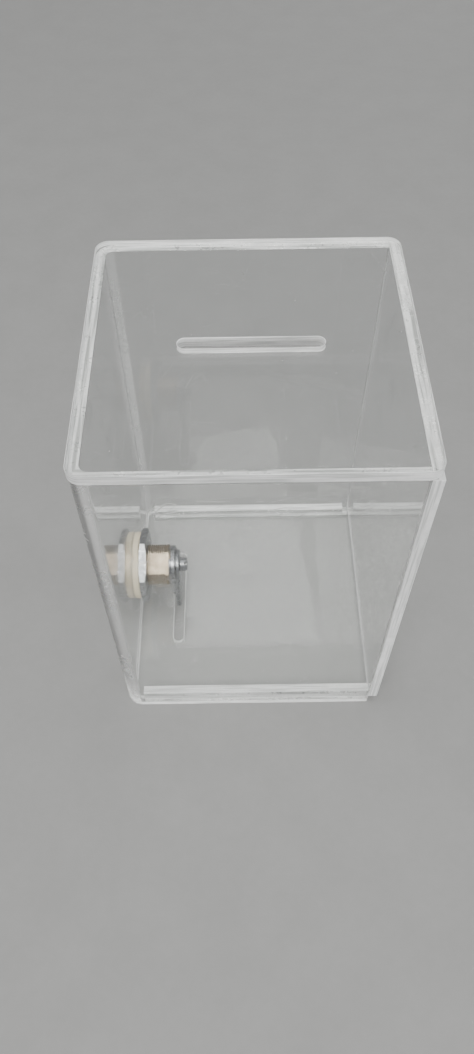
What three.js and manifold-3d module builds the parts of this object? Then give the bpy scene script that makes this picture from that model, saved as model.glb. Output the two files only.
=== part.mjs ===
// A clear acrylic donation box with a slot in its top and a sliding base held by a cam lock.
//
// One sheet is line-bent into the front, left and back walls. A flat right wall and a slotted
// top plate are glued to it. Four rail strips carry the base plate, which slides out to the
// right, under the raised edge of the right wall. The cam lock goes through the left wall, and
// its cam hangs down over a slot in the base plate.
//
// Frame: X runs along the front, to the right. Y runs from the front to the back. Z is up.
// The origin is on the standing surface, under the middle of the whole object.
// Every size is in millimetres and every angle is in degrees unless its name says otherwise.

import * as THREE from "three";
import { mergeVertices } from "three/addons/utils/BufferGeometryUtils.js";
import Module from "manifold-3d";

const wasm = await Module();
wasm.setup();

// ---------------------------------------------------------------- driving dimensions

// The box
const boxWidth = 115;
const boxDepth = 115;
const boxHeight = 168;
const sheet = 4;
const bendInside = 3; // inner radius of the two line bends
const topCorner = 5; // corner radius of the top plate

// The money slot in the top plate, along X
const moneySlotLength = 50;
const moneySlotWidth = 5;

// The base plate and its rails
const baseSheet = 3;
const lowerRailHeight = 2.5;
const upperRailHeight = 3;
const railDepth = 4;
const railBendGap = 1; // from the end of a bend to the end of a rail
const backRailShort = 3; // how far the upper back rail stops short of the right wall
const slideGap = 0.15; // above and below the sliding plate
const baseSideGap = 0.3; // between the sliding plate and the walls
const basePastWall = 1; // how far the plate reaches under the right wall
const camSlotLength = 50;
const camSlotWidth = 5;

// The lock, measured along its axis from the outer face of the left wall, inwards
const lockHeight = 34; // of the axis above the standing surface
const headRim = 1.75; // how far the head stands out round the barrel
const headProjection = 3.5;
const headChamfer = 0.8;
const barrelDiameter = 19;
const flatDepth = 1.5; // of each of the barrel's two flats
const barrelTurn = -60; // of the flats, from facing front and back
const barrelLength = 20;
const boreDiameter = 12.2;
const counterboreDiameter = 14.4;
const counterboreDepth = 2;
const grooveWidth = 7; // of the two grooves that the wafers drop into
const grooveDepth = 0.7; // beyond the bore
const grooveStart = 3;
const seatGap = 0.05; // between pieces that bear on each other

// Nylon washer and hexagon nut on the barrel
const nylonDiameter = 31;
const nylonThickness = 3;
const nutFlats = 30; // across flats
const nutThickness = 3.2;
const nutChamfer = 0.9;
const threadGap = 0.1; // all round the barrel

// Plug
const plugGap = 0.1; // all round, in the bore
const tailWidth = 7; // of the square tail
const keywayWidth = 1.6;
const keywayDepth = 16;

// Wafers, held in line as the right key holds them, and their springs
const waferWindowShifts = [0.3, -0.3, 0, 0.3]; // of each wafer's window, downwards
const waferPitch = 3;
const firstWafer = 2.5; // the middle of the first one
const waferThickness = 1.2;
const waferInset = 0.1; // from a wafer's corners to the plug's surface
const waferStemWidth = 5;
const waferFootWidth = 1.6;
const waferFootHeight = 2;
const waferGap = 0.1; // all round, in its slot
const waferWindowWidth = 2.4;
const waferRim = 0.64; // the least left above and below a window
const keyGap = 0.3; // how much taller a window is than the keyway
const springLength = 4.2;
const springDiameter = 1.1;
const springWire = 0.22;
const springTurns = 4;

// Stop washer and the lug that stops it
const turnRange = 90;
const stopThickness = 0.8;
const stopDiameter = 18;
const stopNotchRadius = 7.2;
const lugSpan = 30; // of the barrel's lug, round the axis
const lugGap = 2; // at each end of the turn

// Cam, washer and screw
const camThickness = 2;
const camHubRadius = 9;
const camTipHalfWidth = 7;
const camTipCorner = 2;
const camTipClear = 0.4; // from the tip to the top of the base plate
const camCrank = 1; // how far the tip is set inwards
const crankStart = 11;
const crankEnd = 15;
const tailGap = 0.1; // round the square tail, in the cam and the stop washer
const camWasherDiameter = 14;
const camWasherThickness = 1.6;
const screwDiameter = 4;
const screwHoleGap = 0.1; // all round the shank
const screwHeadDiameter = 6.5;
const screwHeadHeight = 3.5;
const screwHeadChamfer = 0.4;
const screwLength = 8; // of the shank, under the head
const screwSlotWidth = 1.2;
const screwSlotDepth = 1.3;
const screwSlotAngle = 25;

// Fineness
const ringSteps = 40; // segments round a large ring
const smallRingSteps = 20; // segments round a small one
const cornerSteps = 3; // half the segments in a small corner's arc
const arcSteps = 5; // half the segments in a bend or a barrel's arc
const hubSteps = 10; // half the segments in the arc round a hub
const springSteps = 8; // in each turn of a spring
const springSides = 5; // of the wire's section
const weld = 1e-4; // vertices closer than this are one
const overrun = 5; // how far a cutter runs past what it cuts
const rooting = 0.5; // how far one part of a piece runs into the next before they are joined

// ---------------------------------------------------------------- worked-out places

const halfWidth = boxWidth / 2;
const halfDepth = boxDepth / 2;
const innerX = halfWidth - sheet;
const innerY = halfDepth - sheet;
const wallTop = boxHeight - sheet;
const bendOutside = bendInside + sheet;

const baseBottom = lowerRailHeight + slideGap;
const baseTop = baseBottom + baseSheet;
const channelTop = baseTop + slideGap; // the right wall and the upper rails start here
const railLeft = -halfWidth + bendOutside + railBendGap;
const baseLeft = -innerX + baseSideGap;
const baseRight = innerX + basePastWall;

const nylonStart = sheet + seatGap;
const nutStart = nylonStart + nylonThickness + seatGap;
const stopStart = barrelLength + seatGap;
const camStart = stopStart + stopThickness + seatGap;
const camEnd = camStart + camThickness;
const tailEnd = camEnd - 2 * seatGap;
const camWasherStart = camEnd + seatGap;
const screwHeadStart = camWasherStart + camWasherThickness + seatGap;
const camLength = lockHeight - baseTop - camTipClear;
const camSlotX = -halfWidth + camStart + camThickness / 2 + camCrank;

const barrelRadius = barrelDiameter / 2;
const headRadius = barrelRadius + headRim;
const threadRadius = barrelRadius + threadGap;
const boreRadius = boreDiameter / 2;
const plugRadius = boreRadius - plugGap;
const counterboreEnd = counterboreDepth - headProjection;
const plugFront = plugGap - headProjection;
const lugInside = stopNotchRadius + plugGap;
const lugMiddle = 180; // the lug is on the upper side, where X is negative in the lock's frame
const tapRadius = screwDiameter / 2 + screwHoleGap;

const waferSide = -(waferStemWidth + waferFootWidth) / 2;
const waferStep = waferSide + waferStemWidth; // where the foot joins the stem
const waferFootSide = waferStep + waferFootWidth;
const waferLength = 2 * Math.sqrt((plugRadius - waferInset) ** 2 - waferSide ** 2); // up and down
const waferLift = Math.max(...waferWindowShifts.map(Math.abs));
const waferWindowHeight = waferLength - 2 * (waferRim + waferLift);
const keywayHeight = waferWindowHeight - keyGap;

// ---------------------------------------------------------------- materials

const acrylic = {
  color: 0xe6efed,
  roughness: 0.05,
  metalness: 0,
  transparent: true,
  opacity: 0.3,
};
const nickel = { color: 0xb9ad9c, roughness: 0.3, metalness: 1 };
const zinc = { color: 0xc9ccce, roughness: 0.35, metalness: 1 };
const nylon = { color: 0xe4e0cd, roughness: 0.55, metalness: 0 };
const brass = { color: 0xb8975a, roughness: 0.4, metalness: 1 };
const springSteel = { color: 0x9a9c9e, roughness: 0.35, metalness: 1 };

// ---------------------------------------------------------------- solids

/** The closed solid that a three.js geometry bounds. */
function solidOf(geometry) {
  const bare = geometry.clone();
  bare.deleteAttribute("normal");
  bare.deleteAttribute("uv");
  const merged = mergeVertices(bare, weld);
  const mesh = new wasm.Mesh({
    numProp: 3,
    vertProperties: merged.attributes.position.array,
    triVerts: new Uint32Array(merged.index.array),
  });
  return new wasm.Manifold(mesh);
}

/** A solid without the given cutters. */
function cut(solid, ...cutters) {
  return cutters.reduce((left, cutter) => left.subtract(cutter), solid);
}

/** Several solids as one. */
function join(...solids) {
  return solids.reduce((whole, solid) => whole.add(solid));
}

/** A named mesh of a solid, with a material of its own. */
function meshOf(name, solid, look) {
  const { vertProperties, triVerts } = solid.getMesh();
  const geometry = new THREE.BufferGeometry();
  geometry.setAttribute("position", new THREE.BufferAttribute(vertProperties, 3));
  geometry.setIndex(new THREE.BufferAttribute(triVerts, 1));
  geometry.computeVertexNormals();
  const mesh = new THREE.Mesh(geometry, new THREE.MeshStandardMaterial(look));
  mesh.name = name;
  return mesh;
}

/** A flat outline given its thickness along Z, from one height to another. */
function prism(outline, from, to, curveSegments = cornerSteps) {
  const settings = { depth: to - from, bevelEnabled: false, curveSegments };
  return solidOf(new THREE.ExtrudeGeometry(outline, settings).translate(0, 0, from));
}

/** A box between two corners. */
function block(low, high) {
  const size = high.map((value, i) => value - low[i]);
  const middle = high.map((value, i) => (value + low[i]) / 2);
  return solidOf(new THREE.BoxGeometry(...size).translate(...middle));
}

/** A closed outline in radius and height, turned about Z. */
function turned(profile, steps) {
  const points = profile.map(([r, z]) => new THREE.Vector2(r, z));
  return solidOf(new THREE.LatheGeometry(points, steps).rotateX(Math.PI / 2));
}

/** A solid disc about Z. */
function disc(radius, from, to, steps = ringSteps) {
  return turned([[0, from], [radius, from], [radius, to], [0, to]], steps);
}

/** A disc whose upper rim, lower rim or both are chamfered. */
function chamferedDisc(radius, from, to, lowChamfer, highChamfer, steps = ringSteps) {
  const rim = [];
  if (lowChamfer > 0) rim.push([radius - lowChamfer, from]);
  rim.push([radius, from + lowChamfer], [radius, to - highChamfer]);
  if (highChamfer > 0) rim.push([radius - highChamfer, to]);
  return turned([[0, from], ...rim, [0, to]], steps);
}

/** A flat ring about Z. */
function ring(outer, inner, from, to, steps = ringSteps) {
  return turned([[inner, from], [outer, from], [outer, to], [inner, to], [inner, from]], steps);
}

// ---------------------------------------------------------------- outlines

/** A rectangle with round corners, about the origin. */
function roundedRectangle(width, depth, radius) {
  const x = width / 2 - radius;
  const y = depth / 2 - radius;
  const quarter = Math.PI / 2;
  const outline = new THREE.Shape();
  outline.absarc(x, y, radius, 0, quarter);
  outline.absarc(-x, y, radius, quarter, 2 * quarter);
  outline.absarc(-x, -y, radius, 2 * quarter, 3 * quarter);
  outline.absarc(x, -y, radius, 3 * quarter, 4 * quarter);
  return outline;
}

/** A slot along X with round ends, about the origin. */
function slotOutline(length, width) {
  const radius = width / 2;
  const end = length / 2 - radius;
  const outline = new THREE.Shape();
  outline.absarc(end, 0, radius, -Math.PI / 2, Math.PI / 2);
  outline.absarc(-end, 0, radius, Math.PI / 2, (3 * Math.PI) / 2);
  return outline;
}

/** The barrel's section: a circle with two flats, turned to the angle that it is clamped at. */
function barrelOutline() {
  const round = Math.asin(1 - flatDepth / barrelRadius); // half the angle of each round side
  const turn = THREE.MathUtils.degToRad(barrelTurn);
  const outline = new THREE.Shape();
  outline.absarc(0, 0, barrelRadius, turn - round, turn + round);
  outline.absarc(0, 0, barrelRadius, turn + Math.PI - round, turn + Math.PI + round);
  return outline;
}

/** The three bent walls from above: one strip with two round bends, open to the right. */
function wrapOutline() {
  const cornerX = -halfWidth + bendOutside;
  const cornerY = halfDepth - bendOutside;
  const quarter = Math.PI / 2;
  const outline = new THREE.Shape();
  outline.moveTo(innerX, halfDepth);
  outline.absarc(cornerX, cornerY, bendOutside, quarter, 2 * quarter);
  outline.absarc(cornerX, -cornerY, bendOutside, 2 * quarter, 3 * quarter);
  outline.lineTo(innerX, -halfDepth);
  outline.lineTo(innerX, -innerY);
  outline.absarc(cornerX, -cornerY, bendInside, 3 * quarter, 2 * quarter, true);
  outline.absarc(cornerX, cornerY, bendInside, 2 * quarter, quarter, true);
  outline.lineTo(innerX, innerY);
  return outline;
}

/** The cam along the lock's axis: a round hub that narrows to a tip with round corners. */
function camOutline() {
  const reach = Math.hypot(camLength, camTipHalfWidth);
  const leave = Math.atan2(camTipHalfWidth, camLength) + Math.acos(camHubRadius / reach);
  const tipX = camLength - camTipCorner;
  const tipY = camTipHalfWidth - camTipCorner;
  const outline = new THREE.Shape();
  outline.absarc(0, 0, camHubRadius, leave, 2 * Math.PI - leave);
  outline.absarc(tipX, -tipY, camTipCorner, -Math.PI / 2, 0);
  outline.absarc(tipX, tipY, camTipCorner, 0, Math.PI / 2);
  return outline;
}

/** The cam from its edge: flat at the hub, then set further along Y by the crank. */
function camEdgeOutline() {
  const face = [
    [-camHubRadius - overrun, 0],
    [crankStart, 0],
    [crankEnd, camCrank],
    [camLength + overrun, camCrank],
  ];
  const otherFace = face.map(([x, y]) => [x, y + camThickness]).reverse();
  return new THREE.Shape([...face, ...otherFace].map(([x, y]) => new THREE.Vector2(x, y)));
}

/** The stop washer: a disc with a notch in which the barrel's lug runs. */
function stopOutline() {
  const notchFrom = THREE.MathUtils.degToRad(lugMiddle - turnRange - lugSpan / 2 - lugGap);
  const notchTo = THREE.MathUtils.degToRad(lugMiddle + lugSpan / 2 + lugGap);
  const outline = new THREE.Shape();
  outline.absarc(0, 0, stopDiameter / 2, notchTo, notchFrom + 2 * Math.PI);
  outline.absarc(0, 0, stopNotchRadius, notchFrom, notchTo);
  return outline;
}

/** The lug on the barrel's end: a short piece of ring. */
function lugOutline() {
  const from = THREE.MathUtils.degToRad(lugMiddle - lugSpan / 2);
  const to = THREE.MathUtils.degToRad(lugMiddle + lugSpan / 2);
  const outline = new THREE.Shape();
  outline.absarc(0, 0, barrelRadius, from, to);
  outline.absarc(0, 0, lugInside, to, from, true);
  return outline;
}

/** A hexagon with two of its corners on X. */
function hexagon(acrossFlats) {
  const corner = acrossFlats / 2 / Math.cos(Math.PI / 6);
  const outline = new THREE.Shape();
  for (let i = 0; i < 6; i += 1) {
    const angle = (i * Math.PI) / 3;
    const place = [corner * Math.cos(angle), corner * Math.sin(angle)];
    if (i === 0) outline.moveTo(...place);
    else outline.lineTo(...place);
  }
  return outline;
}

/** The middle line of a spring that is wound about X and starts at X = 0. */
class SpringLine extends THREE.Curve {
  getPoint(t, target = new THREE.Vector3()) {
    const radius = (springDiameter - springWire) / 2;
    const angle = 2 * Math.PI * springTurns * t;
    const along = springWire / 2 + t * (springLength - springWire);
    return target.set(along, radius * Math.cos(angle), radius * Math.sin(angle));
  }
}

// ---------------------------------------------------------------- the acrylic box

function makeWrap() {
  const walls = prism(wrapOutline(), 0, wallTop, arcSteps);
  const hole = disc(threadRadius, -overrun, sheet + overrun)
    .rotate([0, 90, 0])
    .translate([-halfWidth, 0, lockHeight]);
  return meshOf("wall_wrap", cut(walls, hole), acrylic);
}

function makeRightWall() {
  const wall = block([innerX, -halfDepth, channelTop], [halfWidth, halfDepth, wallTop]);
  return meshOf("right_wall", wall, acrylic);
}

function makeTopPlate() {
  const outline = roundedRectangle(boxWidth, boxDepth, topCorner);
  outline.holes.push(slotOutline(moneySlotLength, moneySlotWidth));
  return meshOf("top_plate", prism(outline, wallTop, boxHeight), acrylic);
}

/** A lower and an upper rail along the front wall, and the same along the back wall. */
function makeRails() {
  const levels = [
    { level: "lower", from: 0, to: lowerRailHeight, backEnd: innerX },
    {
      level: "upper",
      from: channelTop,
      to: channelTop + upperRailHeight,
      backEnd: innerX - backRailShort,
    },
  ];
  return levels.flatMap(({ level, from, to, backEnd }) => {
    const front = block([railLeft, -innerY, from], [innerX, -innerY + railDepth, to]);
    const back = block([railLeft, innerY - railDepth, from], [backEnd, innerY, to]);
    return [
      meshOf(`front_${level}_rail`, front, acrylic),
      meshOf(`back_${level}_rail`, back, acrylic),
    ];
  });
}

function makeBasePlate() {
  const length = baseRight - baseLeft;
  const depth = 2 * (innerY - baseSideGap);
  const plate = prism(roundedRectangle(length, depth, bendInside), baseBottom, baseTop)
    .translate([(baseRight + baseLeft) / 2, 0, 0]);
  const slot = prism(slotOutline(camSlotLength, camSlotWidth), baseBottom - overrun, baseTop + overrun)
    .rotate([0, 0, 90])
    .translate([camSlotX, 0, 0]);
  return meshOf("base_plate", cut(plate, slot), acrylic);
}

// ---------------------------------------------------------------- the lock
// Each piece is built about its own Z. The lock's group turns Z to point inwards, along the
// box's X, so that a piece's X points down and its Y points back.

function makeBarrel() {
  const head = chamferedDisc(headRadius, -headProjection, 0, headChamfer, 0);
  const shank = prism(barrelOutline(), -rooting, barrelLength, arcSteps);
  const lug = prism(lugOutline(), barrelLength - rooting, stopStart + stopThickness)
    .intersect(prism(barrelOutline(), 0, barrelLength + overrun, arcSteps));
  const bore = disc(boreRadius, -headProjection - overrun, barrelLength + overrun);
  const counterbore = disc(counterboreDiameter / 2, -headProjection - overrun, counterboreEnd);
  const groove = block(
    [-boreRadius - grooveDepth, -grooveWidth / 2, grooveStart],
    [boreRadius + grooveDepth, grooveWidth / 2, barrelLength],
  );
  return meshOf("lock_barrel", cut(join(head, shank, lug), bore, counterbore, groove), nickel);
}

function makeNylonWasher() {
  const washer = ring(nylonDiameter / 2, threadRadius, nylonStart, nylonStart + nylonThickness);
  return meshOf("nylon_washer", washer, nylon);
}

function makeNut() {
  const end = nutStart + nutThickness;
  const corner = nutFlats / 2 / Math.cos(Math.PI / 6);
  const blank = prism(hexagon(nutFlats), nutStart, end);
  const faced = chamferedDisc(corner, nutStart, end, nutChamfer, nutChamfer);
  const hole = disc(threadRadius, nutStart - overrun, end + overrun);
  return meshOf("lock_nut", cut(blank.intersect(faced), hole), zinc);
}

/** Where the middle of each wafer is along the plug. */
function waferMiddles() {
  return waferWindowShifts.map((_, i) => firstWafer + i * waferPitch);
}

/** One wafer's slot in the plug: right across for the stem, with a pocket for foot and spring. */
function waferSlot(middle) {
  const low = middle - waferThickness / 2 - waferGap;
  const high = middle + waferThickness / 2 + waferGap;
  const reach = plugRadius + overrun;
  const stem = block([-reach, waferSide - waferGap, low], [reach, waferStep + waferGap, high]);
  const pocket = block(
    [-springLength - 2 * waferGap, waferStep, low],
    [waferFootHeight + waferGap, waferFootSide + waferGap, high],
  );
  return stem.add(pocket);
}

function makePlug() {
  const head = disc(counterboreDiameter / 2 - plugGap, plugFront, counterboreEnd - plugGap);
  const body = disc(plugRadius, plugFront, barrelLength);
  const half = tailWidth / 2;
  const tail = block([-half, -half, barrelLength - rooting], [half, half, tailEnd]);
  const keyway = block(
    [-keywayHeight / 2, -keywayWidth / 2, plugFront - overrun],
    [keywayHeight / 2, keywayWidth / 2, plugFront + keywayDepth],
  );
  const tapStart = screwHeadStart - screwLength - screwHoleGap;
  const tap = disc(tapRadius, tapStart, tailEnd + overrun, smallRingSteps);
  const slots = waferMiddles().map(waferSlot);
  return meshOf("lock_plug", cut(join(head, body, tail), keyway, tap, ...slots), nickel);
}

/** The wafers, each with a window for the key and a foot that its spring pushes. */
function makeWafers() {
  return waferMiddles().map((middle, i) => {
    const low = middle - waferThickness / 2;
    const high = middle + waferThickness / 2;
    const shift = waferWindowShifts[i];
    const stem = block([-waferLength / 2, waferSide, low], [waferLength / 2, waferStep, high]);
    const foot = block([0, waferStep - rooting, low], [waferFootHeight, waferFootSide, high]);
    const window = block(
      [shift - waferWindowHeight / 2, -waferWindowWidth / 2, low - overrun],
      [shift + waferWindowHeight / 2, waferWindowWidth / 2, high + overrun],
    );
    return meshOf(`wafer_${i + 1}`, cut(join(stem, foot), window), brass);
  });
}

function makeWaferSprings() {
  const section = new THREE.Shape();
  section.absarc(0, 0, springWire / 2, 0, 2 * Math.PI);
  const settings = {
    steps: springTurns * springSteps,
    curveSegments: springSides / 2,
    extrudePath: new SpringLine(),
  };
  return waferMiddles().map((middle, i) => {
    const coil = solidOf(new THREE.ExtrudeGeometry(section, settings))
      .translate([-springLength - waferGap, (waferStep + waferFootSide) / 2, middle]);
    return meshOf(`wafer_spring_${i + 1}`, coil, springSteel);
  });
}

/** The square hole that fits the plug's tail. */
function tailHole() {
  const half = tailWidth / 2 + tailGap;
  return block([-half, -half, barrelLength - overrun], [half, half, camEnd + overrun]);
}

function makeStopWasher() {
  const washer = prism(stopOutline(), stopStart, stopStart + stopThickness, hubSteps);
  return meshOf("stop_washer", cut(washer, tailHole()), zinc);
}

function makeCam() {
  const plan = prism(camOutline(), camStart - overrun, camEnd + overrun, hubSteps);
  const edge = prism(camEdgeOutline(), -camHubRadius - overrun, camHubRadius + overrun)
    .rotate([90, 0, 0])
    .translate([0, 0, camStart]);
  return meshOf("lock_cam", cut(plan.intersect(edge), tailHole()), zinc);
}

function makeCamWasher() {
  const end = camWasherStart + camWasherThickness;
  return meshOf("cam_washer", ring(camWasherDiameter / 2, tapRadius, camWasherStart, end), zinc);
}

function makeCamScrew() {
  const radius = screwHeadDiameter / 2;
  const end = screwHeadStart + screwHeadHeight;
  const head = chamferedDisc(radius, screwHeadStart, end, 0, screwHeadChamfer, smallRingSteps);
  const shankStart = screwHeadStart - screwLength;
  const shank = disc(screwDiameter / 2, shankStart, screwHeadStart + rooting, smallRingSteps);
  const slot = block(
    [-radius - overrun, -screwSlotWidth / 2, end - screwSlotDepth],
    [radius + overrun, screwSlotWidth / 2, end + overrun],
  ).rotate([0, 0, screwSlotAngle]);
  return meshOf("cam_screw", cut(join(head, shank), slot), zinc);
}

// ---------------------------------------------------------------- assembly

function makeLock() {
  const lock = new THREE.Group();
  lock.add(makeBarrel(), makeNylonWasher(), makeNut());
  lock.add(makePlug(), ...makeWafers(), ...makeWaferSprings());
  lock.add(makeStopWasher(), makeCam(), makeCamWasher(), makeCamScrew());
  lock.position.set(-halfWidth, 0, lockHeight);
  lock.rotation.y = Math.PI / 2;
  return lock;
}

function makeDonationBox() {
  const box = new THREE.Group();
  box.add(makeTopPlate(), makeWrap(), makeRightWall());
  box.add(...makeRails(), makeBasePlate(), makeLock());
  box.position.x = headProjection / 2; // the lock's head stands out of the left wall
  return box;
}

export default makeDonationBox();
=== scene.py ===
"""The looks of a clear acrylic donation box with a cam lock and a sliding base.

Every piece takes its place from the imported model. Sizes are in millimetres unless their name says
otherwise, and a finished piece is in metres, at rest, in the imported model's own frame: X runs along
the front to the right, Y from the front to the back, and Z up.
"""

import logging
import math
from collections.abc import Callable, Mapping, Sequence
from dataclasses import dataclass, field
from enum import Enum

import bmesh
import bpy
from mathutils import Matrix, Vector


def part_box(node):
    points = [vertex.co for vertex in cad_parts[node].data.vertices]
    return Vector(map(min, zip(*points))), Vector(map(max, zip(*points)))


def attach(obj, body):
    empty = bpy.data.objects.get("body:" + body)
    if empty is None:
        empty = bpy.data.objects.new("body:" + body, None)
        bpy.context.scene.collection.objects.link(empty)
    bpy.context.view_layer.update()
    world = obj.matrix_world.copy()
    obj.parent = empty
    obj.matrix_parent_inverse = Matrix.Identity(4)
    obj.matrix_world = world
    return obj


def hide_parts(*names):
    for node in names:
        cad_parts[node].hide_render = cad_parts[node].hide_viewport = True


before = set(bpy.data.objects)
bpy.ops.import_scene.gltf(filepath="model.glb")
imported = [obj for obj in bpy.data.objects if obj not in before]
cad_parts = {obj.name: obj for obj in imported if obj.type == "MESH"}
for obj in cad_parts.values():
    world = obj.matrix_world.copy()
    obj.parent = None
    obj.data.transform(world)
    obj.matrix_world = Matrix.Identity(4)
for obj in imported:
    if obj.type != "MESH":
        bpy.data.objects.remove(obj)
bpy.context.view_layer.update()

LOG = logging.getLogger("donation_box")

MM = 0.001  # one millimetre in metres
WELD = 1e-4  # points closer than this are one
GLUE_LINE = 0.04  # between two glued faces
RUN_PAST = 2.0  # how far a cutter runs past what it cuts
SHARP = 50.0  # an edge that turns by more degrees than this is shaded as an edge
FLAT_ON = 0.99  # the least part along an axis of the way that a flat face looks
TOWARDS = 0.9  # the same of a face that looks mostly along it
BEND_ATTRIBUTE = "bend"  # 1 in the middle of a line bend, 0 where the sheet is flat

Colour = tuple[float, float, float, float]
Wire = bpy.types.NodeSocket | float | tuple[float, ...]
Picker = Callable[[bmesh.types.BMFace], int]


def per_mm(size: float) -> float:
    """The scale of a pattern whose features are this many millimetres across."""
    return 1 / (size * MM)


# ------------------------------------------------------------------------------ places and shapes


@dataclass(frozen=True)
class NodeBox:
    """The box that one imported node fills, in millimetres."""

    low: Vector
    high: Vector

    @classmethod
    def of(cls, node: str) -> "NodeBox":
        """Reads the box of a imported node.

        Args:
            node: The node's name.

        Returns:
            The box, in millimetres.
        """
        low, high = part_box(node)
        return cls(low / MM, high / MM)

    @property
    def middle(self) -> Vector:
        """The middle of the box."""
        return (self.low + self.high) / 2

    @property
    def size(self) -> Vector:
        """The box's length along each axis."""
        return self.high - self.low


@dataclass(frozen=True)
class Arc:
    """A part of a circle in the plane Z = 0. Angles are in degrees, anticlockwise from X."""

    x: float
    y: float
    radius: float
    start: float
    end: float
    steps: int = 16

    def drawn(self, bm: bmesh.types.BMesh) -> list[bmesh.types.BMVert]:
        """Draws the arc.

        Args:
            bm: The mesh to draw it in.

        Returns:
            Its points, in order.
        """
        start = math.radians(self.start)
        place = (self.x + self.radius * math.cos(start), self.y + self.radius * math.sin(start), 0.0)
        first = bm.verts.new(place)
        count = len(bm.verts)
        bmesh.ops.spin(
            bm, geom=[first], cent=(self.x, self.y, 0.0), axis=(0.0, 0.0, 1.0), dvec=(0.0, 0.0, 0.0),
            angle=math.radians(self.end - self.start), steps=self.steps, use_merge=False,
        )
        bm.verts.ensure_lookup_table()
        return [first, *bm.verts[count:]]


Outline = Sequence[Arc | tuple[float, float]]


def rounded_rectangle(middle: Vector, width: float, depth: float, radius: float) -> Outline:
    """The outline of a rectangle with round corners.

    Args:
        middle: Its middle.
        width: Its length along X.
        depth: Its length along Y.
        radius: The radius of its corners.

    Returns:
        The outline.
    """
    right, left = middle.x + width / 2 - radius, middle.x - width / 2 + radius
    back, front = middle.y + depth / 2 - radius, middle.y - depth / 2 + radius
    return [
        Arc(right, back, radius, 0, 90),
        Arc(left, back, radius, 90, 180),
        Arc(left, front, radius, 180, 270),
        Arc(right, front, radius, 270, 360),
    ]


def slot_along_x(middle: Vector, length: float, width: float) -> Outline:
    """The outline of a slot with round ends, along X.

    Args:
        middle: Its middle.
        length: Its length from end to end.
        width: Its width.

    Returns:
        The outline.
    """
    end = (length - width) / 2
    return [
        Arc(middle.x + end, middle.y, width / 2, -90, 90, steps=24),
        Arc(middle.x - end, middle.y, width / 2, 90, 270, steps=24),
    ]


def slot_along_y(middle: Vector, length: float, width: float) -> Outline:
    """The outline of a slot with round ends, along Y.

    Args:
        middle: Its middle.
        length: Its length from end to end.
        width: Its width.

    Returns:
        The outline.
    """
    end = (length - width) / 2
    return [
        Arc(middle.x, middle.y + end, width / 2, 0, 180, steps=24),
        Arc(middle.x, middle.y - end, width / 2, 180, 360, steps=24),
    ]


def square(half: float) -> Outline:
    """The outline of a square about the origin."""
    return [(half, half), (-half, half), (-half, -half), (half, -half)]


class Joining(Enum):
    """How one solid is combined with another."""

    CUT = "DIFFERENCE"
    ADD = "UNION"
    COMMON = "INTERSECT"


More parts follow.
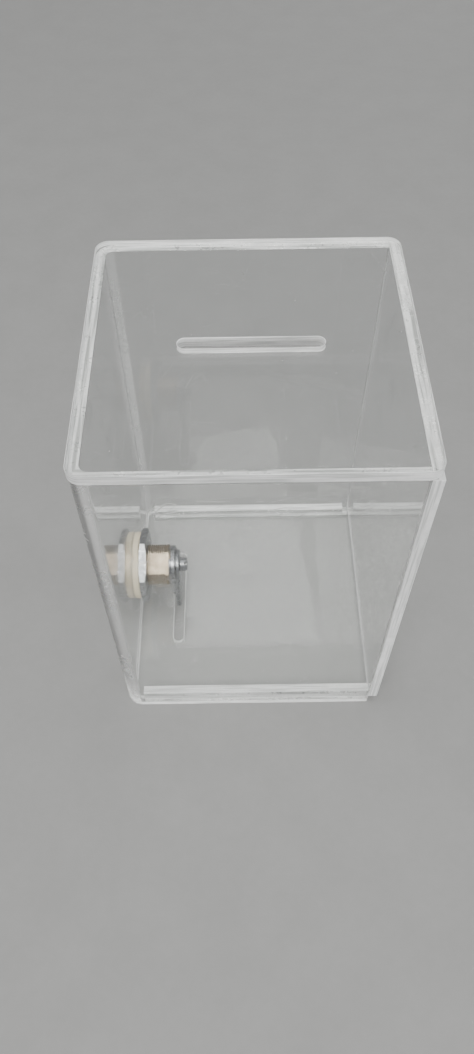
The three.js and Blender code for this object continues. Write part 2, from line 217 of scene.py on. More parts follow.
class Solid:
    """A closed shape in the making, in millimetres in a frame of its own."""

    def __init__(self, bm: bmesh.types.BMesh) -> None:
        """Takes over a mesh and turns its faces outwards."""
        self.bm = bm
        bmesh.ops.recalc_face_normals(bm, faces=bm.faces[:])

    @classmethod
    def block(cls, low: Sequence[float], high: Sequence[float]) -> "Solid":
        """A block between two corners.

        Args:
            low: The corner with the lowest values.
            high: The corner opposite.

        Returns:
            The solid.
        """
        corner, far = Vector(low), Vector(high)
        bm = bmesh.new()
        place = Matrix.Translation((corner + far) / 2) @ Matrix.Diagonal((*(far - corner), 1.0))
        bmesh.ops.create_cube(bm, size=1.0, matrix=place)
        return cls(bm)

    @classmethod
    def turned(cls, profile: Sequence[tuple[float, float]], steps: int = 96) -> "Solid":
        """A profile turned right round Z.

        Args:
            profile: Points in radius and height. One that starts off the axis is closed into a ring.
            steps: The steps in the turn.

        Returns:
            The solid.
        """
        bm = bmesh.new()
        points = [bm.verts.new((radius, 0.0, height)) for radius, height in profile]
        pairs = list(zip(points, points[1:]))
        if profile[0][0] > 0:
            pairs.append((points[-1], points[0]))
        edges = [bm.edges.new(pair) for pair in pairs]
        bmesh.ops.spin(
            bm, geom=points + edges, cent=(0.0, 0.0, 0.0), axis=(0.0, 0.0, 1.0), dvec=(0.0, 0.0, 0.0),
            angle=math.tau, steps=steps, use_merge=True,
        )
        bmesh.ops.remove_doubles(bm, verts=bm.verts[:], dist=WELD)
        return cls(bm)

    @classmethod
    def plate(cls, outlines: Sequence[Outline], low: float, high: float) -> "Solid":
        """A flat plate with an outline and any holes in it.

        Args:
            outlines: The outer outline and one for each hole.
            low: The height of its lower face.
            high: The height of its upper face.

        Returns:
            The solid.
        """
        bm = bmesh.new()
        for outline in outlines:
            cls._draw(bm, outline)
        bmesh.ops.remove_doubles(bm, verts=bm.verts[:], dist=WELD)
        bmesh.ops.triangle_fill(bm, edges=bm.edges[:], use_beauty=True, normal=(0.0, 0.0, 1.0))
        bmesh.ops.dissolve_limit(
            bm, angle_limit=math.radians(1), verts=bm.verts[:], edges=bm.edges[:],
            use_dissolve_boundaries=False,
        )
        bmesh.ops.translate(bm, vec=(0.0, 0.0, low), verts=bm.verts[:])
        raised = bmesh.ops.extrude_face_region(bm, geom=bm.faces[:])["geom"]
        points = [item for item in raised if isinstance(item, bmesh.types.BMVert)]
        bmesh.ops.translate(bm, vec=(0.0, 0.0, high - low), verts=points)
        return cls(bm)

    @staticmethod
    def _draw(bm: bmesh.types.BMesh, outline: Outline) -> None:
        """Draws a closed outline.

        Args:
            bm: The mesh to draw it in.
            outline: Its points and arcs.
        """
        points: list[bmesh.types.BMVert] = []
        for item in outline:
            points += item.drawn(bm) if isinstance(item, Arc) else [bm.verts.new((*item, 0.0))]
        for here, there in zip(points, points[1:] + points[:1]):
            if bm.edges.get((here, there)) is None:
                bm.edges.new((here, there))

    @classmethod
    def ridge(cls, section: Sequence[tuple[float, float]], pitch: float, turns: float) -> "Solid":
        """A section swept up a screw line round Z, as a thread's ridge.

        Args:
            section: Its corners in radius and height, at the start.
            pitch: The rise in one turn.
            turns: The number of turns.

        Returns:
            The solid.
        """
        steps_in_turn = 36
        bm = bmesh.new()
        points = [bm.verts.new((radius, 0.0, height)) for radius, height in section]
        edges = [bm.edges.new(pair) for pair in zip(points, points[1:] + points[:1])]
        bmesh.ops.spin(
            bm, geom=points + edges, cent=(0.0, 0.0, 0.0), axis=(0.0, 0.0, 1.0),
            dvec=(0.0, 0.0, pitch / steps_in_turn), angle=math.tau * turns,
            steps=round(steps_in_turn * turns), use_merge=False,
        )
        ends = [edge for edge in bm.edges if edge.is_boundary]
        bmesh.ops.holes_fill(bm, edges=ends, sides=len(section))
        return cls(bm)

    def moved(self, place: Matrix) -> "Solid":
        """The same solid, moved or turned."""
        bmesh.ops.transform(self.bm, matrix=place, verts=self.bm.verts[:])
        return self

    def softened(self, width: float, segments: int = 2, sharper_than: float = 40.0) -> "Solid":
        """The same solid with its sharp edges rounded.

        Args:
            width: How far the rounding reaches from an edge.
            segments: The steps across it.
            sharper_than: The least turn, in degrees, at an edge that is rounded.

        Returns:
            The solid.
        """
        limit = math.radians(sharper_than)
        edges = [edge for edge in self.bm.edges if edge.is_manifold and edge.calc_face_angle() > limit]
        bmesh.ops.bevel(
            self.bm, geom=edges, offset=width, offset_type="OFFSET", segments=segments, profile=0.5,
            affect="EDGES", material=-1, clamp_overlap=True,
        )
        return self

    def combined(self, how: Joining, *others: "Solid") -> "Solid":
        """This solid combined with others, one after another.

        Args:
            how: Whether they are cut out, added, or kept where both are.
            others: The other solids, which are used up.

        Returns:
            The solid.
        """
        holder = self._as_object()
        tools = [other._as_object() for other in others]
        for tool in tools:
            modifier = holder.modifiers.new("combine", "BOOLEAN")
            modifier.object = tool
            modifier.operation = how.value
            modifier.solver = "EXACT"
        mesh = applied_mesh(holder)
        bm = bmesh.new()
        bm.from_mesh(mesh)
        for spare in (holder, *tools):
            bpy.data.meshes.remove(spare.data)
        bpy.data.meshes.remove(mesh)
        bmesh.ops.remove_doubles(bm, verts=bm.verts[:], dist=WELD)
        return Solid(bm)

    def _as_object(self) -> bpy.types.Object:
        """Hands the mesh to an object for the time that it is combined.

        Returns:
            The object.
        """
        mesh = bpy.data.meshes.new("in_the_making")
        self.bm.to_mesh(mesh)
        self.bm.free()
        made = bpy.data.objects.new("in_the_making", mesh)
        bpy.context.scene.collection.objects.link(made)
        return made

    def piece(
        self,
        name: str,
        finishes: Sequence[bpy.types.Material],
        pick: Picker | None = None,
        place: Matrix | None = None,
    ) -> bpy.types.Object:
        """Puts the solid in the scene, in metres, with its finishes and its shading.

        Args:
            name: The piece's name.
            finishes: Its finishes.
            pick: Which of them a face takes. Without it every face takes the first.
            place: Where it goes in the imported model's frame, in millimetres.

        Returns:
            The finished piece.
        """
        if place is not None:
            self.moved(place)
        if pick is not None:
            for face in self.bm.faces:
                face.material_index = pick(face)
        self.moved(Matrix.Diagonal((MM, MM, MM, 1.0)))
        mesh = bpy.data.meshes.new(name)
        loose_ends = sum(not edge.is_manifold for edge in self.bm.edges)
        self.bm.to_mesh(mesh)
        self.bm.free()
        for finish in finishes:
            mesh.materials.append(finish)
        mesh.shade_smooth()
        mesh.set_sharp_from_angle(angle=math.radians(SHARP))
        made = bpy.data.objects.new(name, mesh)
        bpy.context.scene.collection.objects.link(made)
        shading = made.modifiers.new("even_shading", "WEIGHTED_NORMAL")
        shading.keep_sharp = True
        made.data = applied_mesh(made)
        made.modifiers.clear()
        made.data.name = name
        LOG.info("%s: %d faces, %d open edges", name, len(made.data.polygons), loose_ends)
        return made


def applied_mesh(made: bpy.types.Object) -> bpy.types.Mesh:
    """The mesh of an object with its modifiers applied."""
    graph = bpy.context.evaluated_depsgraph_get()
    return bpy.data.meshes.new_from_object(
        made.evaluated_get(graph), preserve_all_data_layers=True, depsgraph=graph
    )


def settle(piece: bpy.types.Object, body: str, slot: str, *nodes: str) -> bpy.types.Object:
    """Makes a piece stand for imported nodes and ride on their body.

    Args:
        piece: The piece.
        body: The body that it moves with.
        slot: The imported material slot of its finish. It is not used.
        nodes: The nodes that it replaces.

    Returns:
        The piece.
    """
    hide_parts(*nodes)
    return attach(piece, body)


# ------------------------------------------------------------------------------------ shader nodes


class Wiring:
    """Adds and joins the nodes of one shader tree."""

    def __init__(self, tree: bpy.types.NodeTree) -> None:
        """Starts on a tree."""
        self.tree = tree

    def add(
        self, kind: str, wires: Mapping[str | int, Wire] | None = None, **settings: object
    ) -> bpy.types.Node:
        """Adds a node.

        Args:
            kind: The node's type.
            wires: What goes into each of its sockets: a value, or another node's output.
            settings: The node's own settings.

        Returns:
            The node.
        """
        node = self.tree.nodes.new(kind)
        for name, value in settings.items():
            setattr(node, name, value)
        for name, value in (wires or {}).items():
            if isinstance(value, bpy.types.NodeSocket):
                self.tree.links.new(value, node.inputs[name])
            else:
                node.inputs[name].default_value = value
        return node

    def place(self) -> bpy.types.NodeSocket:
        """The place on the piece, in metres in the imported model's frame."""
        return self.add("ShaderNodeTexCoord").outputs["Object"]

    def math(self, operation: str, *values: Wire) -> bpy.types.NodeSocket:
        """The result of a sum on one value or more."""
        return self.add("ShaderNodeMath", dict(enumerate(values)), operation=operation).outputs[0]

    def product(self, *values: Wire) -> bpy.types.NodeSocket:
        """Several values multiplied together, one after another.

        Args:
            values: The values.

        Returns:
            The result.
        """
        result = values[0]
        for value in values[1:]:
            result = self.math("MULTIPLY", result, value)
        return result

    def total(self, *values: Wire) -> bpy.types.NodeSocket:
        """Several values added up, one after another.

        Args:
            values: The values.

        Returns:
            The result.
        """
        result = values[0]
        for value in values[1:]:
            result = self.math("ADD", result, value)
        return result

    def spread(
        self, value: Wire, low: float, high: float, to_low: float = 0.0, to_high: float = 1.0
    ) -> bpy.types.NodeSocket:
        """A value taken from one range to another, and held inside it."""
        wires = {"Value": value, "From Min": low, "From Max": high, "To Min": to_low, "To Max": to_high}
        return self.add("ShaderNodeMapRange", wires, clamp=True).outputs["Result"]

    def blend(self, share: Wire, one: Wire, other: Wire) -> bpy.types.NodeSocket:
        """One colour blended towards another by a share from 0 to 1."""
        return self.add("ShaderNodeMix", {0: share, 6: one, 7: other}, data_type="RGBA").outputs[2]

    def noise(self, where: Wire, feature: float, detail: float = 3.0) -> bpy.types.NodeSocket:
        """A soft random pattern with features of so many millimetres."""
        wires = {"Vector": where, "Scale": per_mm(feature), "Detail": detail}
        return self.add("ShaderNodeTexNoise", wires).outputs["Fac"]

    def stretched(self, where: Wire, scale: Sequence[float]) -> bpy.types.NodeSocket:
        """A place with each axis scaled."""
        return self.add("ShaderNodeMapping", {"Vector": where, "Scale": tuple(scale)}).outputs[0]

    def squeezed_round(self, where: Wire, share: float) -> bpy.types.NodeSocket:
        """A place squeezed along the walls of a square box about the origin, but not across them.

        Args:
            where: The place.
            share: What its length along the walls is multiplied by.

        Returns:
            The squeezed place.
        """
        axes = self.add("ShaderNodeSeparateXYZ", {"Vector": where}).outputs
        outwards = self.math("MAXIMUM", self.math("ABSOLUTE", axes["X"]), self.math("ABSOLUTE", axes["Y"]))
        along = self.product(self.total(axes["X"], axes["Y"]), share)
        up = self.product(axes["Z"], share)
        return self.add("ShaderNodeCombineXYZ", {"X": outwards, "Y": along, "Z": up}).outputs["Vector"]

    def rotated(self, where: Wire, degrees: Sequence[float]) -> bpy.types.NodeSocket:
        """A place turned about each axis."""
        angles = tuple(math.radians(angle) for angle in degrees)
        return self.add("ShaderNodeMapping", {"Vector": where, "Rotation": angles}).outputs[0]

    def bump(self, height: Wire, distance: float, strength: float = 1.0) -> bpy.types.NodeSocket:
        """The surface's direction on a relief so many millimetres high."""
        wires = {"Height": height, "Distance": distance * MM, "Strength": strength}
        return self.add("ShaderNodeBump", wires).outputs["Normal"]

    def effect(self, effect: "Effect", **wires: Wire) -> bpy.types.Node:
        """Places a shared effect.

        Args:
            effect: The effect.
            wires: What goes into each of its inputs.

        Returns:
            Its node.
        """
        node = self.add("ShaderNodeGroup", node_tree=effect.tree())
        for name, value in wires.items():
            socket = node.inputs[name.replace("_", " ").title()]
            if isinstance(value, bpy.types.NodeSocket):
                self.tree.links.new(value, socket)
            else:
                socket.default_value = value
        return node


class Effect:
    """A shader node group that several finishes use. It is built once, when it is first placed."""

    name = ""
    sizes: Mapping[str, float] = {}
    results: Sequence[str] = ("Mask",)

    def tree(self) -> bpy.types.NodeTree:
        """The effect's group.

        Returns:
            The group, built if it isn't there yet.
        """
        if self.name in bpy.data.node_groups:
            return bpy.data.node_groups[self.name]
        tree = bpy.data.node_groups.new(self.name, "ShaderNodeTree")
        tree.interface.new_socket("Place", in_out="INPUT", socket_type="NodeSocketVector")
        for name, value in self.sizes.items():
            socket = tree.interface.new_socket(name, in_out="INPUT", socket_type="NodeSocketFloat")
            socket.default_value = value
        for name in self.results:
            tree.interface.new_socket(name, in_out="OUTPUT", socket_type="NodeSocketFloat")
        wiring = Wiring(tree)
        given = wiring.add("NodeGroupInput").outputs
        made = self.wire(wiring, given)
        wiring.add("NodeGroupOutput", made)
        return tree

    def wire(self, w: Wiring, given: bpy.types.bpy_prop_collection) -> dict[str | int, Wire]:
        """Builds the inside of the group.

        Args:
            w: The group's wiring.
            given: What goes into the group.

        Returns:
            What each of the group's outputs gives.
        """
        raise NotImplementedError


class Hairlines(Effect):
    """Fine scratches from wiping and handling, in three directions."""

    name = "hairlines"
    sizes = {"Amount": 0.5}
    directions = ((0.0, 0.0, 12.0), (35.0, 20.0, 70.0), (80.0, 10.0, 40.0))
    spacing = 9.0
    width = 0.012  # as a share of the spacing

    def wire(self, w: Wiring, given: bpy.types.bpy_prop_collection) -> dict[str | int, Wire]:
        """Lines between long cells, broken up by a patchy mask."""
        patches = w.spread(w.noise(given["Place"], 14.0), 0.52, 0.66)
        lines: Wire = 0.0
        for degrees in self.directions:
            where = w.stretched(w.rotated(given["Place"], degrees), (0.12, 1.0, 1.0))
            cells = w.add(
                "ShaderNodeTexVoronoi", {"Vector": where, "Scale": per_mm(self.spacing)},
                feature="DISTANCE_TO_EDGE",
            ).outputs["Distance"]
            lines = w.math("MAXIMUM", lines, w.spread(cells, 0.0, self.width, 1.0, 0.0))
        return {"Mask": w.product(lines, patches, given["Amount"])}


class Smudges(Effect):
    """Soft patches left by hands and cloths."""

    name = "smudges"
    sizes = {"Amount": 0.5}

    def wire(self, w: Wiring, given: bpy.types.bpy_prop_collection) -> dict[str | int, Wire]:
        """Wide patches with a finer grain inside them."""
        patches = w.spread(w.noise(given["Place"], 30.0, 2.0), 0.5, 0.7)
        grain = w.spread(w.noise(given["Place"], 4.0, 5.0), 0.35, 0.7)
        return {"Mask": w.product(patches, grain, given["Amount"])}


class Dust(Effect):
    """Scattered specks."""

    name = "dust"
    sizes = {"Amount": 0.5, "Spacing": 5.0}
    speck = 0.045  # the radius of the largest speck, as a share of the spacing
    rim = 0.01  # a speck's soft rim, as the same share

    def wire(self, w: Wiring, given: bpy.types.bpy_prop_collection) -> dict[str | int, Wire]:
        """A dot in some of the cells of a random pattern, each of its own size."""
        scale = w.math("DIVIDE", 1 / MM, given["Spacing"])
        cells = w.add("ShaderNodeTexVoronoi", {"Vector": given["Place"], "Scale": scale})
        chance = w.add("ShaderNodeSeparateColor", {"Color": cells.outputs["Color"]}).outputs
        radius = w.spread(chance["Red"], 0.55, 1.0, 0.0, self.speck)
        inside = w.math("SUBTRACT", radius, cells.outputs["Distance"])
        return {"Mask": w.product(w.spread(inside, 0.0, self.rim), given["Amount"])}


class SawMarks(Effect):
    """The marks of a saw's teeth: fine ridges that cross the sheet's thickness."""

    name = "saw_marks"
    sizes = {"Coarseness": 0.5}
    results = ("Mask", "Height")
    band_scale = 0.13  # the bands are this much coarser than the ridges

    def wire(self, w: Wiring, given: bpy.types.bpy_prop_collection) -> dict[str | int, Wire]:
        """Two sets of ridges, with wider bands where the feed changed."""
        scale = w.math("DIVIDE", 1 / MM, given["Coarseness"])
        fine = w.add("ShaderNodeTexNoise", {"Vector": given["Place"], "Scale": scale, "Detail": 4.0})
        wide_scale = w.product(scale, self.band_scale)
        wide = w.add("ShaderNodeTexNoise", {"Vector": given["Place"], "Scale": wide_scale, "Detail": 2.0})
        bands = w.spread(wide.outputs["Fac"], 0.35, 0.65)
        height = w.product(fine.outputs["Fac"], w.spread(bands, 0.0, 1.0, 0.5, 1.0))
        return {"Mask": bands, "Height": height}


class Streaks(Effect):
    """Lines of tone along an edge. The place that goes in is squeezed along the edge."""

    name = "streaks"
    sizes = {"Width": 0.5}

    def wire(self, w: Wiring, given: bpy.types.bpy_prop_collection) -> dict[str | int, Wire]:
        """A random pattern with a clear step between its light and dark parts."""
        scale = w.math("DIVIDE", 1 / MM, given["Width"])
        lines = w.add("ShaderNodeTexNoise", {"Vector": given["Place"], "Scale": scale, "Detail": 2.0})
        return {"Mask": w.spread(lines.outputs["Fac"], 0.42, 0.62)}


class EdgeWear(Effect):
    """Where an edge stands out and is rubbed."""

    name = "edge_wear"
    sizes = {"Reach": 0.3}

    def wire(self, w: Wiring, given: bpy.types.bpy_prop_collection) -> dict[str | int, Wire]:
        """Compares the surface's direction with the same surface's if its edges were round."""
        reach = w.product(given["Reach"], MM)
        softened = w.add("ShaderNodeBevel", {"Radius": reach}, samples=4).outputs["Normal"]
        plain = w.add("ShaderNodeNewGeometry").outputs["Normal"]
        same = w.add("ShaderNodeVectorMath", {0: softened, 1: plain}, operation="DOT_PRODUCT")
        turned = w.spread(same.outputs["Value"], 0.99, 0.8)
        patchy = w.spread(w.noise(given["Place"], 1.2), 0.35, 0.6)
        return {"Mask": w.product(turned, patchy)}


class Mottle(Effect):
    """Uneven patches of tone, at two sizes."""

    name = "mottle"
    sizes = {"Patch": 3.0}
    fineness = 6.0
    wide_share = 0.65

    def wire(self, w: Wiring, given: bpy.types.bpy_prop_collection) -> dict[str | int, Wire]:
        """A wide pattern and a finer one."""
        scale = w.math("DIVIDE", 1 / MM, given["Patch"])
        wide = w.add("ShaderNodeTexNoise", {"Vector": given["Place"], "Scale": scale, "Detail": 3.0})
        fine_scale = w.product(scale, self.fineness)
        fine = w.add("ShaderNodeTexNoise", {"Vector": given["Place"], "Scale": fine_scale, "Detail": 3.0})
        wide_part = w.product(wide.outputs["Fac"], self.wide_share)
        fine_part = w.product(fine.outputs["Fac"], 1 - self.wide_share)
        return {"Mask": w.spread(w.total(wide_part, fine_part), 0.35, 0.65)}


# ----------------------------------------------------------------------------------------- finishes


class SheetAxis(Enum):
    """The axis that a sheet's thickness runs along, as its place in a vector."""

    X = 0
    Y = 1
    Z = 2


def new_material(name: str) -> tuple[bpy.types.Material, Wiring, bpy.types.NodeSocket]:
    """Starts a material.

    Args:
        name: Its name.

    Returns:
        The material, its wiring, and the socket that its surface goes into.
    """
    material = bpy.data.materials.new(name)
    material.use_nodes = True
    material.node_tree.nodes.clear()
    wiring = Wiring(material.node_tree)
    return material, wiring, wiring.add("ShaderNodeOutputMaterial").inputs["Surface"]


@dataclass(frozen=True)
class PolishedAcrylic:
    """The glossy face of a clear sheet, with hairlines, smudges and a little dust.

    It is rippled and less glossy where the sheet was bent, and a pale layer there is painted light along
    the bend.
    """

    name: str = "polished_acrylic"
    tint: Colour = (0.99, 0.995, 0.992, 1.0)
    dust: Colour = (0.8, 0.79, 0.76, 1.0)
    ior: float = 1.49
    smudge_roughness: float = 0.07
    hairline_amount: float = 0.8
    hairline_roughness: float = 0.3
    hairline_depth: float = 0.004
    dust_amount: float = 0.9
    dust_spacing: float = 6.0
    dust_roughness: float = 0.5
    bend_roughness: float = 0.25
    painted_bend_light: Colour = (0.9, 0.9, 0.89, 1.0)  # painted light: a pale layer that stands in for the band of light along a bend
    painted_bend_light_share: float = 0.2
    painted_bend_light_roughness: float = 0.5
    ripple: float = 3.0
    ripple_squeeze: float = 0.05  # along the bend
    ripple_height: float = 0.12  # where the sheet was bent

    def made(self) -> bpy.types.Material:
        """Builds the finish.

        Returns:
            The material.
        """
        material, w, surface = new_material(self.name)
        place = w.place()
        smudges = w.effect(Smudges(), place=place, amount=1.0).outputs["Mask"]
        hairlines = w.effect(Hairlines(), place=place, amount=self.hairline_amount).outputs["Mask"]
        dust = w.effect(
            Dust(), place=place, amount=self.dust_amount, spacing=self.dust_spacing
        ).outputs["Mask"]
        bend = w.add("ShaderNodeAttribute", attribute_name=BEND_ATTRIBUTE).outputs["Fac"]
        roughness = w.total(
            w.product(bend, self.bend_roughness),
            w.product(smudges, self.smudge_roughness),
            w.product(hairlines, self.hairline_roughness),
            w.product(dust, self.dust_roughness),
        )
        ripples = w.noise(w.stretched(place, (1.0, 1.0, self.ripple_squeeze)), self.ripple, 2.0)
        bent = w.bump(w.product(ripples, bend), self.ripple_height)
        scratched = w.add(
            "ShaderNodeBump",
            {
                "Height": w.math("SUBTRACT", dust, hairlines), "Distance": self.hairline_depth * MM,
                "Normal": bent,
            },
        ).outputs["Normal"]
        clear = w.add(
            "ShaderNodeBsdfPrincipled",
            {
                "Base Color": w.blend(dust, self.tint, self.dust), "Roughness": roughness,
                "IOR": self.ior, "Transmission Weight": 1.0, "Normal": scratched,
            },
        ).outputs["BSDF"]
        open_way = w.add("ShaderNodeBsdfTransparent", {"Color": self.tint}).outputs["BSDF"]
        shadow = w.add("ShaderNodeLightPath").outputs["Is Shadow Ray"]
        # painted light: a pale matt layer mixed into the bends, more where the ripples rise, so that the
        # bends look lit
        matt = {"Base Color": self.painted_bend_light, "Roughness": self.painted_bend_light_roughness}
        painted_bend_light_layer = w.add("ShaderNodeBsdfPrincipled", matt).outputs["BSDF"]
        painted_bend_light_amount = w.product(bend, self.painted_bend_light_share, w.spread(ripples, 0.3, 0.7, 0.5, 1.0))
        body = w.add("ShaderNodeMixShader", {0: painted_bend_light_amount, 1: clear, 2: painted_bend_light_layer}).outputs["Shader"]
        mixed = w.add("ShaderNodeMixShader", {0: shadow, 1: body, 2: open_way}).outputs["Shader"]
        w.tree.links.new(mixed, surface)
        return material


@dataclass(frozen=True)
class SawnAcrylic:
    """A sawn face of a clear sheet: white, with the saw's marks across it and streaks along it."""

    axis: SheetAxis
    light: Colour = (0.99, 0.99, 0.985, 1.0)
    shade: Colour = (0.58, 0.59, 0.58, 1.0)
    transmission: float = 0.3
    roughness: tuple[float, float] = (0.36, 0.56)
    coarseness: float = 0.55
    mark_squeeze: float = 0.07  # of the marks, across the edge
    streak_width: float = 0.7
    streak_squeeze: float = 0.03  # along the edge
    patch: float = 5.0
    mottle_share: float = 0.6
    relief: float = 0.05
    ior: float = 1.49

    def made(self) -> bpy.types.Material:
        """Builds the finish.

        Returns:
            The material.
        """
        material, w, surface = new_material(f"sawn_acrylic_{self.axis.name.lower()}")
        place = w.place()
        scale = [1.0, 1.0, 1.0]
        scale[self.axis.value] = self.mark_squeeze
        marks = w.effect(SawMarks(), place=w.stretched(place, scale), coarseness=self.coarseness)
        mottle = w.effect(Mottle(), place=place, patch=self.patch).outputs["Mask"]
        scale = [self.streak_squeeze] * 3
        scale[self.axis.value] = 1.0
        along = w.stretched(place, scale)
        streaks = w.effect(Streaks(), place=along, width=self.streak_width).outputs["Mask"]
        uneven = w.product(mottle, w.spread(marks.outputs["Mask"], 0.0, 1.0, 0.45, 1.0))
        wear = w.math("MAXIMUM", w.product(uneven, self.mottle_share), streaks)
        frosted = w.add(
            "ShaderNodeBsdfPrincipled",
            {
                "Base Color": w.blend(wear, self.light, self.shade),
                "Roughness": w.spread(marks.outputs["Mask"], 0.0, 1.0, *self.roughness),
                "IOR": self.ior, "Transmission Weight": self.transmission,
                "Normal": w.bump(marks.outputs["Height"], self.relief),
            },
        ).outputs["BSDF"]
        w.tree.links.new(frosted, surface)
        return material


@dataclass(frozen=True)
class CementedAcrylic:
    """A face that is cemented to another piece: milky, with darker streaks, patches and bubbles."""

    name: str = "cemented_acrylic"
    light: Colour = (0.95, 0.952, 0.945, 1.0)
    shade: Colour = (0.36, 0.37, 0.36, 1.0)
    transmission: float = 0.35
    roughness: tuple[float, float] = (0.22, 0.42)
    streak_width: float = 0.9
    streak_squeeze: float = 0.03  # along the joint
    patch: float = 7.0
    mottle_share: float = 0.5
    bubble_amount: float = 0.7
    bubble_spacing: float = 1.6
    relief: float = 0.03
    ior: float = 1.49

    def made(self) -> bpy.types.Material:
        """Builds the finish.

        Returns:
            The material.
        """
        material, w, surface = new_material(self.name)
        place = w.place()
        mottle = w.effect(Mottle(), place=place, patch=self.patch).outputs["Mask"]
        bubbles = w.effect(
            Dust(), place=place, amount=self.bubble_amount, spacing=self.bubble_spacing
        ).outputs["Mask"]
        along = w.squeezed_round(place, self.streak_squeeze)
        streaks = w.effect(Streaks(), place=along, width=self.streak_width).outputs["Mask"]
        uneven = w.math("MAXIMUM", w.product(mottle, self.mottle_share), streaks)
        milky = w.blend(uneven, self.light, self.shade)
        cemented = w.add(
            "ShaderNodeBsdfPrincipled",
            {
                "Base Color": w.blend(bubbles, milky, self.light),
                "Roughness": w.spread(mottle, 0.0, 1.0, *self.roughness),
                "IOR": self.ior, "Transmission Weight": self.transmission,
                "Normal": w.bump(w.total(mottle, bubbles), self.relief),
            },
        ).outputs["BSDF"]
        w.tree.links.new(cemented, surface)
        return material


@dataclass(frozen=True)
class PlatedMetal:
    """A plated or plain metal, with brushing, stains and rubbed edges."""

    name: str
    colour: Colour
    stain: Colour
    rubbed: Colour
    roughness: tuple[float, float] = (0.24, 0.42)
    brush: tuple[float, float, float] = (1.0, 1.0, 1.0)  # a low value draws the grain out along that axis
    grain: float = 0.35
    grain_share: float = 0.6  # of the changes in roughness; stains make the rest
    relief: float = 0.006
    patch: float = 4.0
    wear_reach: float = 0.35

    def made(self) -> bpy.types.Material:
        """Builds the finish.

        Returns:
            The material.
        """
        material, w, surface = new_material(self.name)
        place = w.place()
        stains = w.effect(Mottle(), place=place, patch=self.patch).outputs["Mask"]
        wear = w.effect(EdgeWear(), place=place, reach=self.wear_reach).outputs["Mask"]
        grain = w.noise(w.stretched(place, self.brush), self.grain, 4.0)
        colour = w.blend(wear, w.blend(stains, self.colour, self.stain), self.rubbed)
        low, high = self.roughness
        uneven = w.total(w.product(grain, self.grain_share), w.product(stains, 1 - self.grain_share))
        grainy = w.spread(uneven, 0.3, 0.7, low, high)
        roughness = w.math("SUBTRACT", grainy, w.product(wear, low / 3))
        metal = w.add(
            "ShaderNodeBsdfPrincipled",
            {
                "Base Color": colour, "Metallic": 1.0, "Roughness": roughness,
                "Normal": w.bump(grain, self.relief),
            },
        ).outputs["BSDF"]
        w.tree.links.new(metal, surface)
        return material


@dataclass(frozen=True)
class MouldedNylon:
    """Cream nylon from a mould: softly lit through, with a fine matt grain."""

    name: str = "cream_nylon"
    colour: Colour = (0.60, 0.54, 0.41, 1.0)
    aged: Colour = (0.49, 0.42, 0.29, 1.0)
    rubbed: Colour = (0.72, 0.67, 0.55, 1.0)
    roughness: tuple[float, float] = (0.42, 0.6)
    ior: float = 1.53
    patch: float = 7.0
    mottle_share: float = 0.6
    wear_reach: float = 0.5
    grain: float = 0.25
    relief: float = 0.01
    glow: float = 0.25  # how much of the light goes in and comes out again
    glow_colour: tuple[float, float, float] = (1.0, 0.8, 0.5)
    glow_depth: float = 1.5

    def made(self) -> bpy.types.Material:
        """Builds the finish.

        Returns:
            The material.
        """
        material, w, surface = new_material(self.name)
        place = w.place()
        mottle = w.effect(Mottle(), place=place, patch=self.patch).outputs["Mask"]
        wear = w.effect(EdgeWear(), place=place, reach=self.wear_reach).outputs["Mask"]
        grain = w.noise(place, self.grain, 4.0)
        tone = w.blend(w.product(mottle, self.mottle_share), self.colour, self.aged)
        plastic = w.add(
            "ShaderNodeBsdfPrincipled",
            {
                "Base Color": w.blend(wear, tone, self.rubbed),
                "Roughness": w.spread(grain, 0.3, 0.7, *self.roughness), "IOR": self.ior,
                "Subsurface Weight": self.glow, "Subsurface Radius": self.glow_colour,
                "Subsurface Scale": self.glow_depth * MM, "Normal": w.bump(grain, self.relief),
            },
        ).outputs["BSDF"]
        w.tree.links.new(plastic, surface)
        return material


@dataclass(frozen=True)
class PaleFloor:
    """A plain pale floor with the faintest unevenness."""

    name: str = "pale_floor"
    light: Colour = (0.245, 0.245, 0.24, 1.0)
    shade: Colour = (0.23, 0.23, 0.225, 1.0)
    roughness: float = 0.75
    patch: float = 25.0
    grain: float = 0.8
    relief: float = 0.03

    def made(self) -> bpy.types.Material:
        """Builds the finish.

        Returns:
            The material.
        """
        material, w, surface = new_material(self.name)
        place = w.place()
        mottle = w.effect(Mottle(), place=place, patch=self.patch).outputs["Mask"]
        matt = w.add(
            "ShaderNodeBsdfPrincipled",
            {
                "Base Color": w.blend(mottle, self.light, self.shade), "Roughness": self.roughness,
                "Normal": w.bump(w.noise(place, self.grain), self.relief),
            },
        ).outputs["BSDF"]
        w.tree.links.new(matt, surface)
        return material


